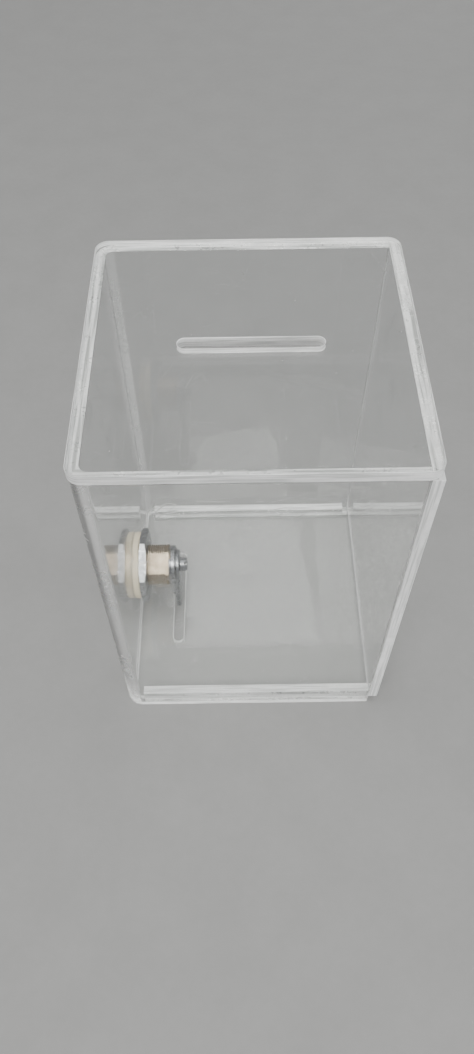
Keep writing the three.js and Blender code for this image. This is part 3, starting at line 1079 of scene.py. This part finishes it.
@dataclass
class Finishes:
    """Every finish of the object, built once."""

    polished: bpy.types.Material = field(default_factory=lambda: PolishedAcrylic().made())
    sawn: dict[SheetAxis, bpy.types.Material] = field(
        default_factory=lambda: {axis: SawnAcrylic(axis).made() for axis in SheetAxis}
    )
    cemented: bpy.types.Material = field(default_factory=lambda: CementedAcrylic().made())
    nickel: bpy.types.Material = field(
        default_factory=lambda: PlatedMetal(
            "satin_nickel", (0.43, 0.36, 0.27, 1.0), (0.29, 0.235, 0.165, 1.0), (0.62, 0.55, 0.44, 1.0),
            roughness=(0.30, 0.46), brush=(0.15, 1.0, 1.0),
        ).made()
    )
    zinc: bpy.types.Material = field(
        default_factory=lambda: PlatedMetal(
            "bright_zinc", (0.42, 0.43, 0.44, 1.0), (0.25, 0.26, 0.27, 1.0), (0.74, 0.74, 0.74, 1.0),
            roughness=(0.20, 0.38), patch=2.2,
        ).made()
    )
    brass: bpy.types.Material = field(
        default_factory=lambda: PlatedMetal(
            "wafer_brass", (0.72, 0.53, 0.26, 1.0), (0.55, 0.38, 0.17, 1.0), (0.86, 0.71, 0.42, 1.0),
            roughness=(0.28, 0.46), patch=1.5,
        ).made()
    )
    spring_steel: bpy.types.Material = field(
        default_factory=lambda: PlatedMetal(
            "drawn_spring_steel", (0.52, 0.53, 0.54, 1.0), (0.36, 0.36, 0.37, 1.0), (0.72, 0.72, 0.72, 1.0),
            roughness=(0.22, 0.36), patch=1.0, grain=0.12, wear_reach=0.08,
        ).made()
    )
    nylon: bpy.types.Material = field(default_factory=lambda: MouldedNylon().made())
    floor: bpy.types.Material = field(default_factory=lambda: PaleFloor().made())


# ---------------------------------------------------------------------------------- the acrylic box


class Face(Enum):
    """The finishes of an acrylic piece, as their places on it."""

    POLISHED = 0
    SAWN = 1
    CEMENTED = 2


@dataclass
class AcrylicBox:
    """The fixed acrylic pieces: the bent walls, the right wall, the slotted top and the four rails."""

    finishes: Finishes
    body: str = "shell"
    slot: str = "clear_acrylic"
    sheet: float = 4.0
    bend_inside: float = 3.0
    top_corner: float = 5.0
    money_slot_length: float = 50.0
    money_slot_width: float = 5.0
    rim: float = 0.25  # the rounding of a sawn edge
    hole_gap: float = 0.1  # all round the barrel
    bend_steps: int = 24

    def build(self) -> None:
        """Builds every fixed acrylic piece."""
        self.build_top_plate()
        self.build_bent_walls()
        self.build_right_wall()
        for side in ("front", "back"):
            for level in ("lower", "upper"):
                self.build_rail(f"{side}_{level}_rail")

    def dress(
        self, solid: Solid, name: str, axis: SheetAxis, cemented: Callable[[Vector], bool]
    ) -> bpy.types.Object:
        """Finishes a flat acrylic piece and puts it in its place.

        Args:
            solid: Its shape.
            name: Its name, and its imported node's.
            axis: The axis of its thickness.
            cemented: Whether a face that looks a given way is glued to another piece.

        Returns:
            The piece.
        """

        def pick(face: bmesh.types.BMFace) -> int:
            """The finish of one face."""
            if cemented(face.normal):
                return Face.CEMENTED.value
            flat = abs(face.normal[axis.value]) > FLAT_ON
            return Face.POLISHED.value if flat else Face.SAWN.value

        looks = [self.finishes.polished, self.finishes.sawn[axis], self.finishes.cemented]
        piece = solid.piece(f"{name}_clear", looks, pick)
        return settle(piece, self.body, self.slot, name)

    def build_top_plate(self) -> None:
        """The top plate, with round corners and the money slot."""
        box = NodeBox.of("top_plate")
        outer = rounded_rectangle(box.middle, box.size.x, box.size.y, self.top_corner)
        slot = slot_along_x(box.middle, self.money_slot_length, self.money_slot_width)
        plate = Solid.plate([outer, slot], box.low.z, box.high.z).softened(self.rim, 3)
        self.dress(plate, "top_plate", SheetAxis.Z, lambda way: False)

    def build_bent_walls(self) -> None:
        """The front, left and back walls, bent from one sheet, with the lock's hole."""
        box = NodeBox.of("wall_wrap")
        outside = self.bend_inside + self.sheet
        right = box.high.x - GLUE_LINE
        bend_x = box.low.x + outside
        front, back = box.low.y + outside, box.high.y - outside
        outline: Outline = [
            (right, box.high.y),
            Arc(bend_x, back, outside, 90, 180, self.bend_steps),
            Arc(bend_x, front, outside, 180, 270, self.bend_steps),
            (right, box.low.y),
            (right, box.low.y + self.sheet),
            Arc(bend_x, front, self.bend_inside, 270, 180, self.bend_steps),
            Arc(bend_x, back, self.bend_inside, 180, 90, self.bend_steps),
            (right, box.high.y - self.sheet),
        ]
        lock = LockAxis.found()
        hole_radius = CamLock.barrel_diameter / 2 + self.hole_gap
        drill = CamLock.rod(hole_radius, -RUN_PAST, self.sheet + RUN_PAST).moved(lock.matrix())
        walls = Solid.plate([outline], box.low.z, box.high.z - GLUE_LINE)
        walls = walls.combined(Joining.CUT, drill).softened(self.rim)

        def pick(face: bmesh.types.BMFace) -> int:
            """The finish of one face."""
            middle, way = face.calc_center_median(), face.normal
            if way.z > 0.5 or (way.x > 0.5 and middle.x > right - self.rim):
                return Face.CEMENTED.value
            from_axis = math.hypot(middle.y - lock.y, middle.z - lock.z)
            by_hole = from_axis < hole_radius + self.rim and middle.x < box.low.x + self.sheet + self.rim
            in_hole = by_hole and abs(way.x) < FLAT_ON  # the wall's own faces look along the lock's axis
            return Face.SAWN.value if in_hole or way.z < -0.1 else Face.POLISHED.value

        looks = [self.finishes.polished, self.finishes.sawn[SheetAxis.Y], self.finishes.cemented]
        piece = walls.piece("wall_wrap_clear", looks, pick)
        self.mark_bends(piece, bend_x * MM, front * MM, back * MM, outside * MM)
        settle(piece, self.body, self.slot, "wall_wrap")

    @staticmethod
    def mark_bends(piece: bpy.types.Object, bend_x: float, front: float, back: float, reach: float) -> None:
        """Writes on each point how far it is into a line bend.

        Args:
            piece: The bent walls.
            bend_x: Where the bends start, along X. All the lengths here are in metres.
            front: Where the front bend starts, along Y.
            back: Where the back bend starts, along Y.
            reach: The bend's outer radius.
        """
        marks = piece.data.attributes.new(BEND_ATTRIBUTE, "FLOAT", "POINT")
        for point, mark in zip(piece.data.vertices, marks.data):
            along_x = (bend_x - point.co.x) / reach
            along_y = max(front - point.co.y, point.co.y - back) / reach
            mark.value = max(0.0, min(1.0, 4 * along_x * along_y)) if min(along_x, along_y) > 0 else 0.0

    def build_right_wall(self) -> None:
        """The flat right wall, glued over the ends of the bent sheet."""
        box = NodeBox.of("right_wall")
        wall = Solid.block(box.low, box.high - Vector((0.0, 0.0, GLUE_LINE)))
        self.dress(wall.softened(self.rim, 3), "right_wall", SheetAxis.X, lambda way: way.z > TOWARDS)

    def build_rail(self, node: str) -> None:
        """One rail strip, sawn all round and glued to its wall by one face.

        Args:
            node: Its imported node.
        """
        box = NodeBox.of(node)
        outwards = math.copysign(1.0, box.middle.y)
        inset = Vector((GLUE_LINE, GLUE_LINE, 0.0))
        strip = Solid.block(box.low + inset, box.high - inset).softened(self.rim)
        self.dress(strip, node, SheetAxis.Y, lambda way: way.y * outwards > TOWARDS)


@dataclass
class SlidingBase:
    """The base plate, which slides out to the right, with the slot under the cam."""

    finishes: Finishes
    body: str = "base"
    slot: str = "clear_acrylic"
    corner: float = 3.0
    cam_slot_length: float = 50.0
    cam_slot_width: float = 5.0
    cam_thickness: float = 2.0
    rim: float = 0.25

    def build(self) -> None:
        """Builds the base plate."""
        box = NodeBox.of("base_plate")
        tip_face = NodeBox.of("lock_cam").high.x
        outer = rounded_rectangle(box.middle, box.size.x, box.size.y, self.corner)
        under_tip = Vector((tip_face - self.cam_thickness / 2, box.middle.y, 0.0))
        slot = slot_along_y(under_tip, self.cam_slot_length, self.cam_slot_width)
        plate = Solid.plate([outer, slot], box.low.z, box.high.z).softened(self.rim, 3)

        def pick(face: bmesh.types.BMFace) -> int:
            """The finish of one face."""
            return Face.POLISHED.value if abs(face.normal.z) > FLAT_ON else Face.SAWN.value

        looks = [self.finishes.polished, self.finishes.sawn[SheetAxis.Z]]
        settle(plate.piece("base_plate_clear", looks, pick), self.body, self.slot, "base_plate")


# ---------------------------------------------------------------------------------------- the lock


@dataclass(frozen=True)
class LockAxis:
    """The lock's axis: where it leaves the outer face of the left wall, and how to stand on it.

    In the lock's own frame Z points inwards along the axis, X points down and Y points back.
    """

    face: float
    y: float
    z: float

    @classmethod
    def found(cls) -> "LockAxis":
        """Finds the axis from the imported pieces."""
        barrel = NodeBox.of("nylon_washer").middle
        return cls(NodeBox.of("wall_wrap").low.x, barrel.y, barrel.z)

    def matrix(self) -> Matrix:
        """Takes the lock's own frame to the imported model's."""
        return Matrix.Translation((self.face, self.y, self.z)) @ Matrix.Rotation(math.pi / 2, 4, "Y")

    def stretch(self, node: str) -> tuple[float, float]:
        """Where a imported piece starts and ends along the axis."""
        box = NodeBox.of(node)
        return box.low.x - self.face, box.high.x - self.face


@dataclass
class CamLock:
    """The cam lock: the barrel with its washer and nut, and the plug with what turns with it."""

    finishes: Finishes
    axis: LockAxis
    fixed_body: str = "shell"
    turning_body: str = "plug"
    barrel_diameter: float = 19.0
    head_chamfer: float = 0.8
    fine_rim: float = 0.12  # the rounding of the nut's and the stop washer's edges
    soft_rim: float = 0.2  # the same on the barrel's head, the plug and the cam
    round_rim: float = 0.4  # the same on the barrel's end and the screw's head
    flat_depth: float = 1.5
    flats_face: float = 30.0  # the way that one flat faces, in degrees from straight down
    bore_diameter: float = 12.2
    counterbore_diameter: float = 14.4
    counterbore_depth: float = 2.0
    groove_width: float = 7.0
    groove_depth: float = 0.7
    groove_start: float = 3.0
    thread_pitch: float = 1.0
    thread_depth: float = 0.4
    thread_foot: float = 0.48  # half the ridge's width at its foot, as a share of the pitch
    thread_crest: float = 0.1  # the same at its top
    rooting: float = 1.0  # how far one part of a piece runs into the next
    thread_runout: float = 1.2  # plain barrel at each end of the thread
    seat_gap: float = 0.05
    lug_inside: float = 7.3
    lug_span: float = 30.0
    nylon_rim: float = 0.7
    nut_flats: float = 30.0
    nut_sides: int = 6
    nut_chamfer: float = 0.9
    nut_chamfer_rise: float = 0.54
    plug_gap: float = 0.1
    keyway_width: float = 1.6
    keyway_height: float = 7.6
    keyway_depth: float = 16.0
    tail_width: float = 7.0
    tail_gap: float = 0.1
    tail_rim: float = 0.3
    wafer_count: int = 4
    wafer_gap: float = 0.1
    stop_radius: float = 9.0
    stop_notch_radius: float = 7.2
    stop_notch: tuple[float, float] = (73.0, 197.0)
    cam_hub_radius: float = 9.0
    cam_tip_half_width: float = 7.0
    cam_tip_corner: float = 2.0
    cam_thickness: float = 2.0
    cam_crank: float = 1.0
    crank_start: float = 11.0
    crank_end: float = 15.0
    cam_washer_rim: float = 0.25
    screw_diameter: float = 4.0
    screw_length: float = 8.0
    screw_pitch: float = 0.7
    screw_thread_depth: float = 0.35
    screw_rooting: float = 0.2  # how far the shank runs into the head
    screw_slot_width: float = 1.2
    screw_slot_depth: float = 1.3
    screw_slot_angle: float = 25.0

    def build(self) -> None:
        """Builds the lock's pieces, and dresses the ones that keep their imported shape."""
        self.build_barrel()
        self.build_nylon_washer()
        self.build_nut()
        self.build_plug()
        self.build_stop_washer()
        self.build_cam()
        self.build_cam_washer()
        self.build_cam_screw()
        self.dress_wafers()

    def put(self, solid: Solid, node: str, look: bpy.types.Material, body: str, slot: str) -> None:
        """Finishes one of the lock's pieces and puts it on the axis."""
        piece = solid.piece(f"{node}_detail", [look], place=self.axis.matrix())
        settle(piece, body, slot, node)

    @staticmethod
    def rod(radius: float, low: float, high: float, steps: int = 96) -> Solid:
        """A plain round bar about Z."""
        return Solid.turned([(0.0, low), (radius, low), (radius, high), (0.0, high)], steps)

    def threaded(self, radius: float, depth: float, pitch: float, low: float, high: float) -> Solid:
        """A bar with a thread on it.

        Args:
            radius: Its radius over the thread.
            depth: The thread's depth.
            pitch: The thread's pitch.
            low: Where the thread starts.
            high: Where the thread ends.

        Returns:
            The bar, as long as its thread.
        """
        root = radius - depth
        foot, crest = self.thread_foot * pitch, self.thread_crest * pitch
        section = [(root - depth, -foot), (radius, -crest), (radius, crest), (root - depth, foot)]
        turns = (high - low) / pitch - 1
        ridge = Solid.ridge(section, pitch, turns).moved(Matrix.Translation((0.0, 0.0, low + pitch / 2)))
        return self.rod(root, low, high).combined(Joining.ADD, ridge)

    def build_barrel(self) -> None:
        """The barrel: a chamfered head, a threaded shank with two flats, a bore and a stop lug."""
        low, high = self.axis.stretch("lock_barrel")
        end = self.axis.stretch("stop_washer")[0] - self.seat_gap
        radius = self.barrel_diameter / 2
        head_radius = NodeBox.of("lock_barrel").size.y / 2
        head = Solid.turned(
            [
                (0.0, low), (head_radius - self.head_chamfer, low), (head_radius, low + self.head_chamfer),
                (head_radius, 0.0), (0.0, 0.0),
            ]
        ).softened(self.soft_rim, 3, 30)
        thread_end = end - self.thread_runout
        shank = self.threaded(radius, self.thread_depth, self.thread_pitch, -self.rooting, thread_end)
        collar = self.rod(radius, thread_end - self.thread_pitch / 4, end).softened(self.round_rim, 3)
        half, wide = radius - self.flat_depth, radius + RUN_PAST
        across = Solid.block((-half, -wide, -RUN_PAST), (half, wide, end + RUN_PAST))
        across.moved(Matrix.Rotation(math.radians(self.flats_face), 4, "Z"))
        shank = shank.combined(Joining.ADD, collar).combined(Joining.COMMON, across)
        lug = Solid.plate([self.lug_outline(half)], end - RUN_PAST, high)
        bore = self.rod(self.bore_diameter / 2, low - RUN_PAST, end + RUN_PAST)
        counterbore = self.rod(self.counterbore_diameter / 2, low - RUN_PAST, low + self.counterbore_depth)
        reach, side = self.bore_diameter / 2 + self.groove_depth, self.groove_width / 2
        groove = Solid.block((-reach, -side, self.groove_start), (reach, side, end))
        barrel = head.combined(Joining.ADD, shank, lug).combined(Joining.CUT, bore, counterbore, groove)
        self.put(barrel, "lock_barrel", self.finishes.nickel, self.fixed_body, "nickel")

    def lug_outline(self, radius: float) -> Outline:
        """The lug that stops the turn: a short piece of ring on the barrel's upper side."""
        start, end = 180 - self.lug_span / 2, 180 + self.lug_span / 2
        return [Arc(0.0, 0.0, radius, start, end), Arc(0.0, 0.0, self.lug_inside, end, start)]

    def build_nylon_washer(self) -> None:
        """The thick nylon washer, with soft rims."""
        low, high = self.axis.stretch("nylon_washer")
        outer = NodeBox.of("nylon_washer").size.y / 2
        inner = self.barrel_diameter / 2 + self.plug_gap
        washer = Solid.turned([(inner, low), (outer, low), (outer, high), (inner, high)], 128)
        washer.softened(self.nylon_rim, 4)
        self.put(washer, "nylon_washer", self.finishes.nylon, self.fixed_body, "nylon")

    def build_nut(self) -> None:
        """The hexagon nut, chamfered on both faces, with one corner pointing up."""
        low, high = self.axis.stretch("lock_nut")
        corner = self.nut_flats / math.sqrt(3)
        angles = [math.radians(360 * side / self.nut_sides) for side in range(self.nut_sides)]
        hexagon = [(corner * math.cos(angle), corner * math.sin(angle)) for angle in angles]
        rise = self.nut_chamfer_rise
        faced = Solid.turned(
            [
                (0.0, low), (corner - 2 * self.nut_chamfer, low), (corner, low + rise),
                (corner, high - rise), (corner - 2 * self.nut_chamfer, high), (0.0, high),
            ],
            144,
        )
        radius = self.barrel_diameter / 2 + self.seat_gap
        chamfer = self.nut_chamfer / 2
        hole = Solid.turned(
            [
                (0.0, low - chamfer), (radius + 2 * chamfer, low - chamfer), (radius, low + chamfer),
                (radius, high - chamfer), (radius + 2 * chamfer, high + chamfer), (0.0, high + chamfer),
            ]
        )
        nut = Solid.plate([hexagon], low, high).combined(Joining.COMMON, faced).combined(Joining.CUT, hole)
        nut.softened(self.fine_rim, 2, 25)
        self.put(nut, "lock_nut", self.finishes.zinc, self.fixed_body, "zinc")

    def build_plug(self) -> None:
        """The plug: head, body, square tail, keyway, the wafers' slots and the screw's hole."""
        low, tail_end = self.axis.stretch("lock_plug")
        shoulder = self.axis.stretch("stop_washer")[0] - self.seat_gap
        head_end = self.axis.stretch("lock_barrel")[0] + self.counterbore_depth - self.plug_gap
        head_radius = self.counterbore_diameter / 2 - self.plug_gap
        body_radius = self.bore_diameter / 2 - self.plug_gap
        turned = Solid.turned(
            [
                (0.0, low), (head_radius, low), (head_radius, head_end),
                (body_radius, head_end), (body_radius, shoulder), (0.0, shoulder),
            ]
        ).softened(self.soft_rim, 3)
        half = self.tail_width / 2
        tail = Solid.block((-half, -half, shoulder - RUN_PAST), (half, half, tail_end))
        tail.softened(self.tail_rim)
        keyway = Solid.block(
            (-self.keyway_height / 2, -self.keyway_width / 2, low - RUN_PAST),
            (self.keyway_height / 2, self.keyway_width / 2, low + self.keyway_depth),
        )
        hole_low = self.axis.stretch("cam_screw")[0] - self.plug_gap
        hole = self.rod(self.screw_diameter / 2 + self.plug_gap, hole_low, tail_end + RUN_PAST, 48)
        slots = self.wafer_slots(body_radius + RUN_PAST)
        plug = turned.combined(Joining.ADD, tail).combined(Joining.CUT, keyway, hole, *slots)
        self.put(plug, "lock_plug", self.finishes.nickel, self.turning_body, "nickel")

    def wafer_slots(self, reach: float) -> list[Solid]:
        """A slot right across the plug for each wafer and its spring.

        Args:
            reach: How far each slot runs from the axis.

        Returns:
            The slots, as solids to cut out.
        """
        slots = []
        for i in range(1, self.wafer_count + 1):
            wafer = NodeBox.of(f"wafer_{i}")
            low, high = self.axis.stretch(f"wafer_{i}")
            front, back = wafer.low.y - self.wafer_gap, wafer.high.y + self.wafer_gap
            start, end = low - self.wafer_gap, high + self.wafer_gap
            slots.append(Solid.block((-reach, front, start), (reach, back, end)))
        return slots

    def build_stop_washer(self) -> None:
        """The stop washer: a disc with a wide notch for the barrel's lug, and a square hole."""
        low, high = self.axis.stretch("stop_washer")
        start, end = self.stop_notch
        outline: Outline = [
            Arc(0.0, 0.0, self.stop_radius, end, start + 360, steps=64),
            Arc(0.0, 0.0, self.stop_notch_radius, start, end, steps=32),
        ]
        hole = square(self.tail_width / 2 + self.tail_gap)
        washer = Solid.plate([outline, hole], low, high).softened(self.fine_rim)
        self.put(washer, "stop_washer", self.finishes.zinc, self.turning_body, "zinc")

    def build_cam(self) -> None:
        """The cam: a round hub that narrows to a tip, cranked a little inwards."""
        low = self.axis.stretch("lock_cam")[0]
        length = self.axis.z - NodeBox.of("lock_cam").low.z
        reach = math.hypot(length, self.cam_tip_half_width)
        leave = math.degrees(
            math.atan2(self.cam_tip_half_width, length) + math.acos(self.cam_hub_radius / reach)
        )
        tip_x, tip_y = length - self.cam_tip_corner, self.cam_tip_half_width - self.cam_tip_corner
        outline: Outline = [
            Arc(0.0, 0.0, self.cam_hub_radius, leave, 360 - leave, steps=64),
            Arc(tip_x, -tip_y, self.cam_tip_corner, -90, 0),
            Arc(tip_x, tip_y, self.cam_tip_corner, 0, 90),
        ]
        hole = square(self.tail_width / 2 + self.tail_gap)
        cam = Solid.plate([outline, hole], low, low + self.cam_thickness).softened(self.soft_rim, 3)
        self.crank(cam.bm)
        self.put(cam, "lock_cam", self.finishes.zinc, self.turning_body, "zinc")

    def crank(self, bm: bmesh.types.BMesh) -> None:
        """Sets the cam's tip inwards past its crank, in a smooth double bend.

        Args:
            bm: The cam's mesh, in the lock's own frame.
        """
        steps = 12
        for i in range(steps + 1):
            x = self.crank_start + (self.crank_end - self.crank_start) * i / steps
            geometry = [*bm.verts, *bm.edges, *bm.faces]
            bmesh.ops.bisect_plane(
                bm, geom=geometry, dist=WELD, plane_co=(x, 0.0, 0.0), plane_no=(1.0, 0.0, 0.0)
            )
        for point in bm.verts:
            share = (point.co.x - self.crank_start) / (self.crank_end - self.crank_start)
            share = max(0.0, min(1.0, share))
            point.co.z += self.cam_crank * share * share * (3 - 2 * share)
        bmesh.ops.recalc_face_normals(bm, faces=bm.faces[:])

    def build_cam_washer(self) -> None:
        """The washer under the cam's screw."""
        low, high = self.axis.stretch("cam_washer")
        outer = NodeBox.of("cam_washer").size.y / 2
        inner = self.screw_diameter / 2 + self.plug_gap
        washer = Solid.turned([(inner, low), (outer, low), (outer, high), (inner, high)])
        washer.softened(self.cam_washer_rim, 3)
        self.put(washer, "cam_washer", self.finishes.zinc, self.turning_body, "zinc")

    def build_cam_screw(self) -> None:
        """The cam's screw: a slotted head with a soft rim, on a threaded shank."""
        low, high = self.axis.stretch("cam_screw")
        head_low = low + self.screw_length
        radius = NodeBox.of("cam_screw").size.y / 2
        head = self.rod(radius, head_low, high, 72).softened(self.round_rim, 4)
        thread_end = head_low + self.screw_rooting
        shank = self.threaded(
            self.screw_diameter / 2, self.screw_thread_depth, self.screw_pitch, low, thread_end
        )
        slot = Solid.block(
            (-radius - RUN_PAST, -self.screw_slot_width / 2, high - self.screw_slot_depth),
            (radius + RUN_PAST, self.screw_slot_width / 2, high + RUN_PAST),
        ).moved(Matrix.Rotation(math.radians(self.screw_slot_angle), 4, "Z"))
        screw = head.combined(Joining.ADD, shank).combined(Joining.CUT, slot)
        self.put(screw, "cam_screw", self.finishes.zinc, self.turning_body, "zinc")

    def dress_wafers(self) -> None:
        """Gives the wafers and their springs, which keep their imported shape, their finishes."""
        for i in range(1, self.wafer_count + 1):
            looks = {f"wafer_{i}": self.finishes.brass, f"wafer_spring_{i}": self.finishes.spring_steel}
            for node, look in looks.items():
                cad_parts[node].material_slots[0].material = look
                LOG.info("%s: finish %s", node, look.name)


# -------------------------------------------------------------------------------------- the studio


@dataclass(frozen=True)
class Softbox:
    """A large soft lamp that looks at the middle of the object. Lengths are in metres."""

    name: str
    place: tuple[float, float, float]
    width: float
    power: float
    colour: tuple[float, float, float] = (1.0, 1.0, 1.0)
    mirrored: bool = True  # a low lamp would show as a hard patch in the top plate
    shines_through: bool = False  # so that metal behind clear sheet mirrors it; the floor gets it twice
    target: tuple[float, float, float] = (0.0, 0.0, 0.08)

    def build(self) -> None:
        """Hangs the lamp."""
        light = bpy.data.lights.new(self.name, "AREA")
        light.shape = "SQUARE"
        light.size = self.width
        light.energy = self.power
        light.color = self.colour
        lamp = bpy.data.objects.new(self.name, light)
        lamp.location = self.place
        lamp.rotation_euler = (Vector(self.target) - Vector(self.place)).to_track_quat("-Z", "Y").to_euler()
        lamp.visible_glossy = self.mirrored
        lamp.visible_transmission = self.shines_through
        bpy.context.scene.collection.objects.link(lamp)
        LOG.info("%s: %.0f W", self.name, self.power)


@dataclass
class Studio:
    """The floor, the lamps, the light of the room and the camera. Lengths are in metres."""

    finishes: Finishes
    floor_half: float = 3.0
    floor_drop: float = 0.00005  # below the standing surface
    room_colour: Colour = (0.80, 0.81, 0.82, 1.0)
    room_strength: float = 0.46
    camera_place: tuple[float, float, float] = (-0.00395, -0.2092, 0.3546)
    camera_degrees: tuple[float, float, float] = (35.429, 0.462, -0.661)
    lens: float = 27.66
    sensor: float = 36.0
    lamps: Sequence[Softbox] = (
        Softbox("key_lamp", (-0.18, -0.75, 1.4), 0.7, 15.0, (1.0, 0.985, 0.96), shines_through=True),
        Softbox("front_lamp", (0.3, -1.7, 0.5), 0.8, 20.0, mirrored=False),
        Softbox("left_lamp", (-1.4, 0.1, 0.6), 0.8, 10.0, mirrored=False),
        Softbox("right_lamp", (1.4, -0.4, 0.6), 0.8, 10.0, (0.95, 0.975, 1.0), mirrored=False),
        Softbox("back_lamp", (0.4, 1.7, 0.45), 0.8, 11.0, mirrored=False),
        Softbox("top_lamp", (0.1, 0.0, 2.3), 0.8, 19.0),
    )

    def build(self) -> None:
        """Builds the floor, the lights and the camera."""
        self.build_floor()
        for lamp in self.lamps:
            lamp.build()
        self.build_room()
        self.build_camera()

    def build_floor(self) -> None:
        """The plain floor."""
        bm = bmesh.new()
        place = Matrix.Translation((0.0, 0.0, -self.floor_drop))
        bmesh.ops.create_grid(bm, x_segments=4, y_segments=4, size=self.floor_half, matrix=place)
        mesh = bpy.data.meshes.new("floor")
        bm.to_mesh(mesh)
        bm.free()
        mesh.materials.append(self.finishes.floor)
        floor = bpy.data.objects.new("floor", mesh)
        bpy.context.scene.collection.objects.link(floor)

    def build_room(self) -> None:
        """The even light of the room."""
        world = bpy.data.worlds.new("room")
        world.use_nodes = True
        backdrop = world.node_tree.nodes["Background"].inputs
        backdrop["Color"].default_value = self.room_colour
        backdrop["Strength"].default_value = self.room_strength
        bpy.context.scene.world = world

    def build_camera(self) -> None:
        """The camera, looking down on the front of the box."""
        camera = bpy.data.cameras.new("camera")
        camera.lens = self.lens
        camera.sensor_width = self.sensor
        camera.clip_start = 0.01
        holder = bpy.data.objects.new("camera", camera)
        holder.location = self.camera_place
        holder.rotation_euler = tuple(math.radians(angle) for angle in self.camera_degrees)
        bpy.context.scene.collection.objects.link(holder)
        bpy.context.scene.camera = holder


def main() -> None:
    """Builds every part of the scene in order."""
    logging.basicConfig(level=logging.INFO, format="%(message)s")
    finishes = Finishes()
    AcrylicBox(finishes).build()
    SlidingBase(finishes).build()
    CamLock(finishes, LockAxis.found()).build()
    Studio(finishes).build()


if __name__ == "__main__":
    main()
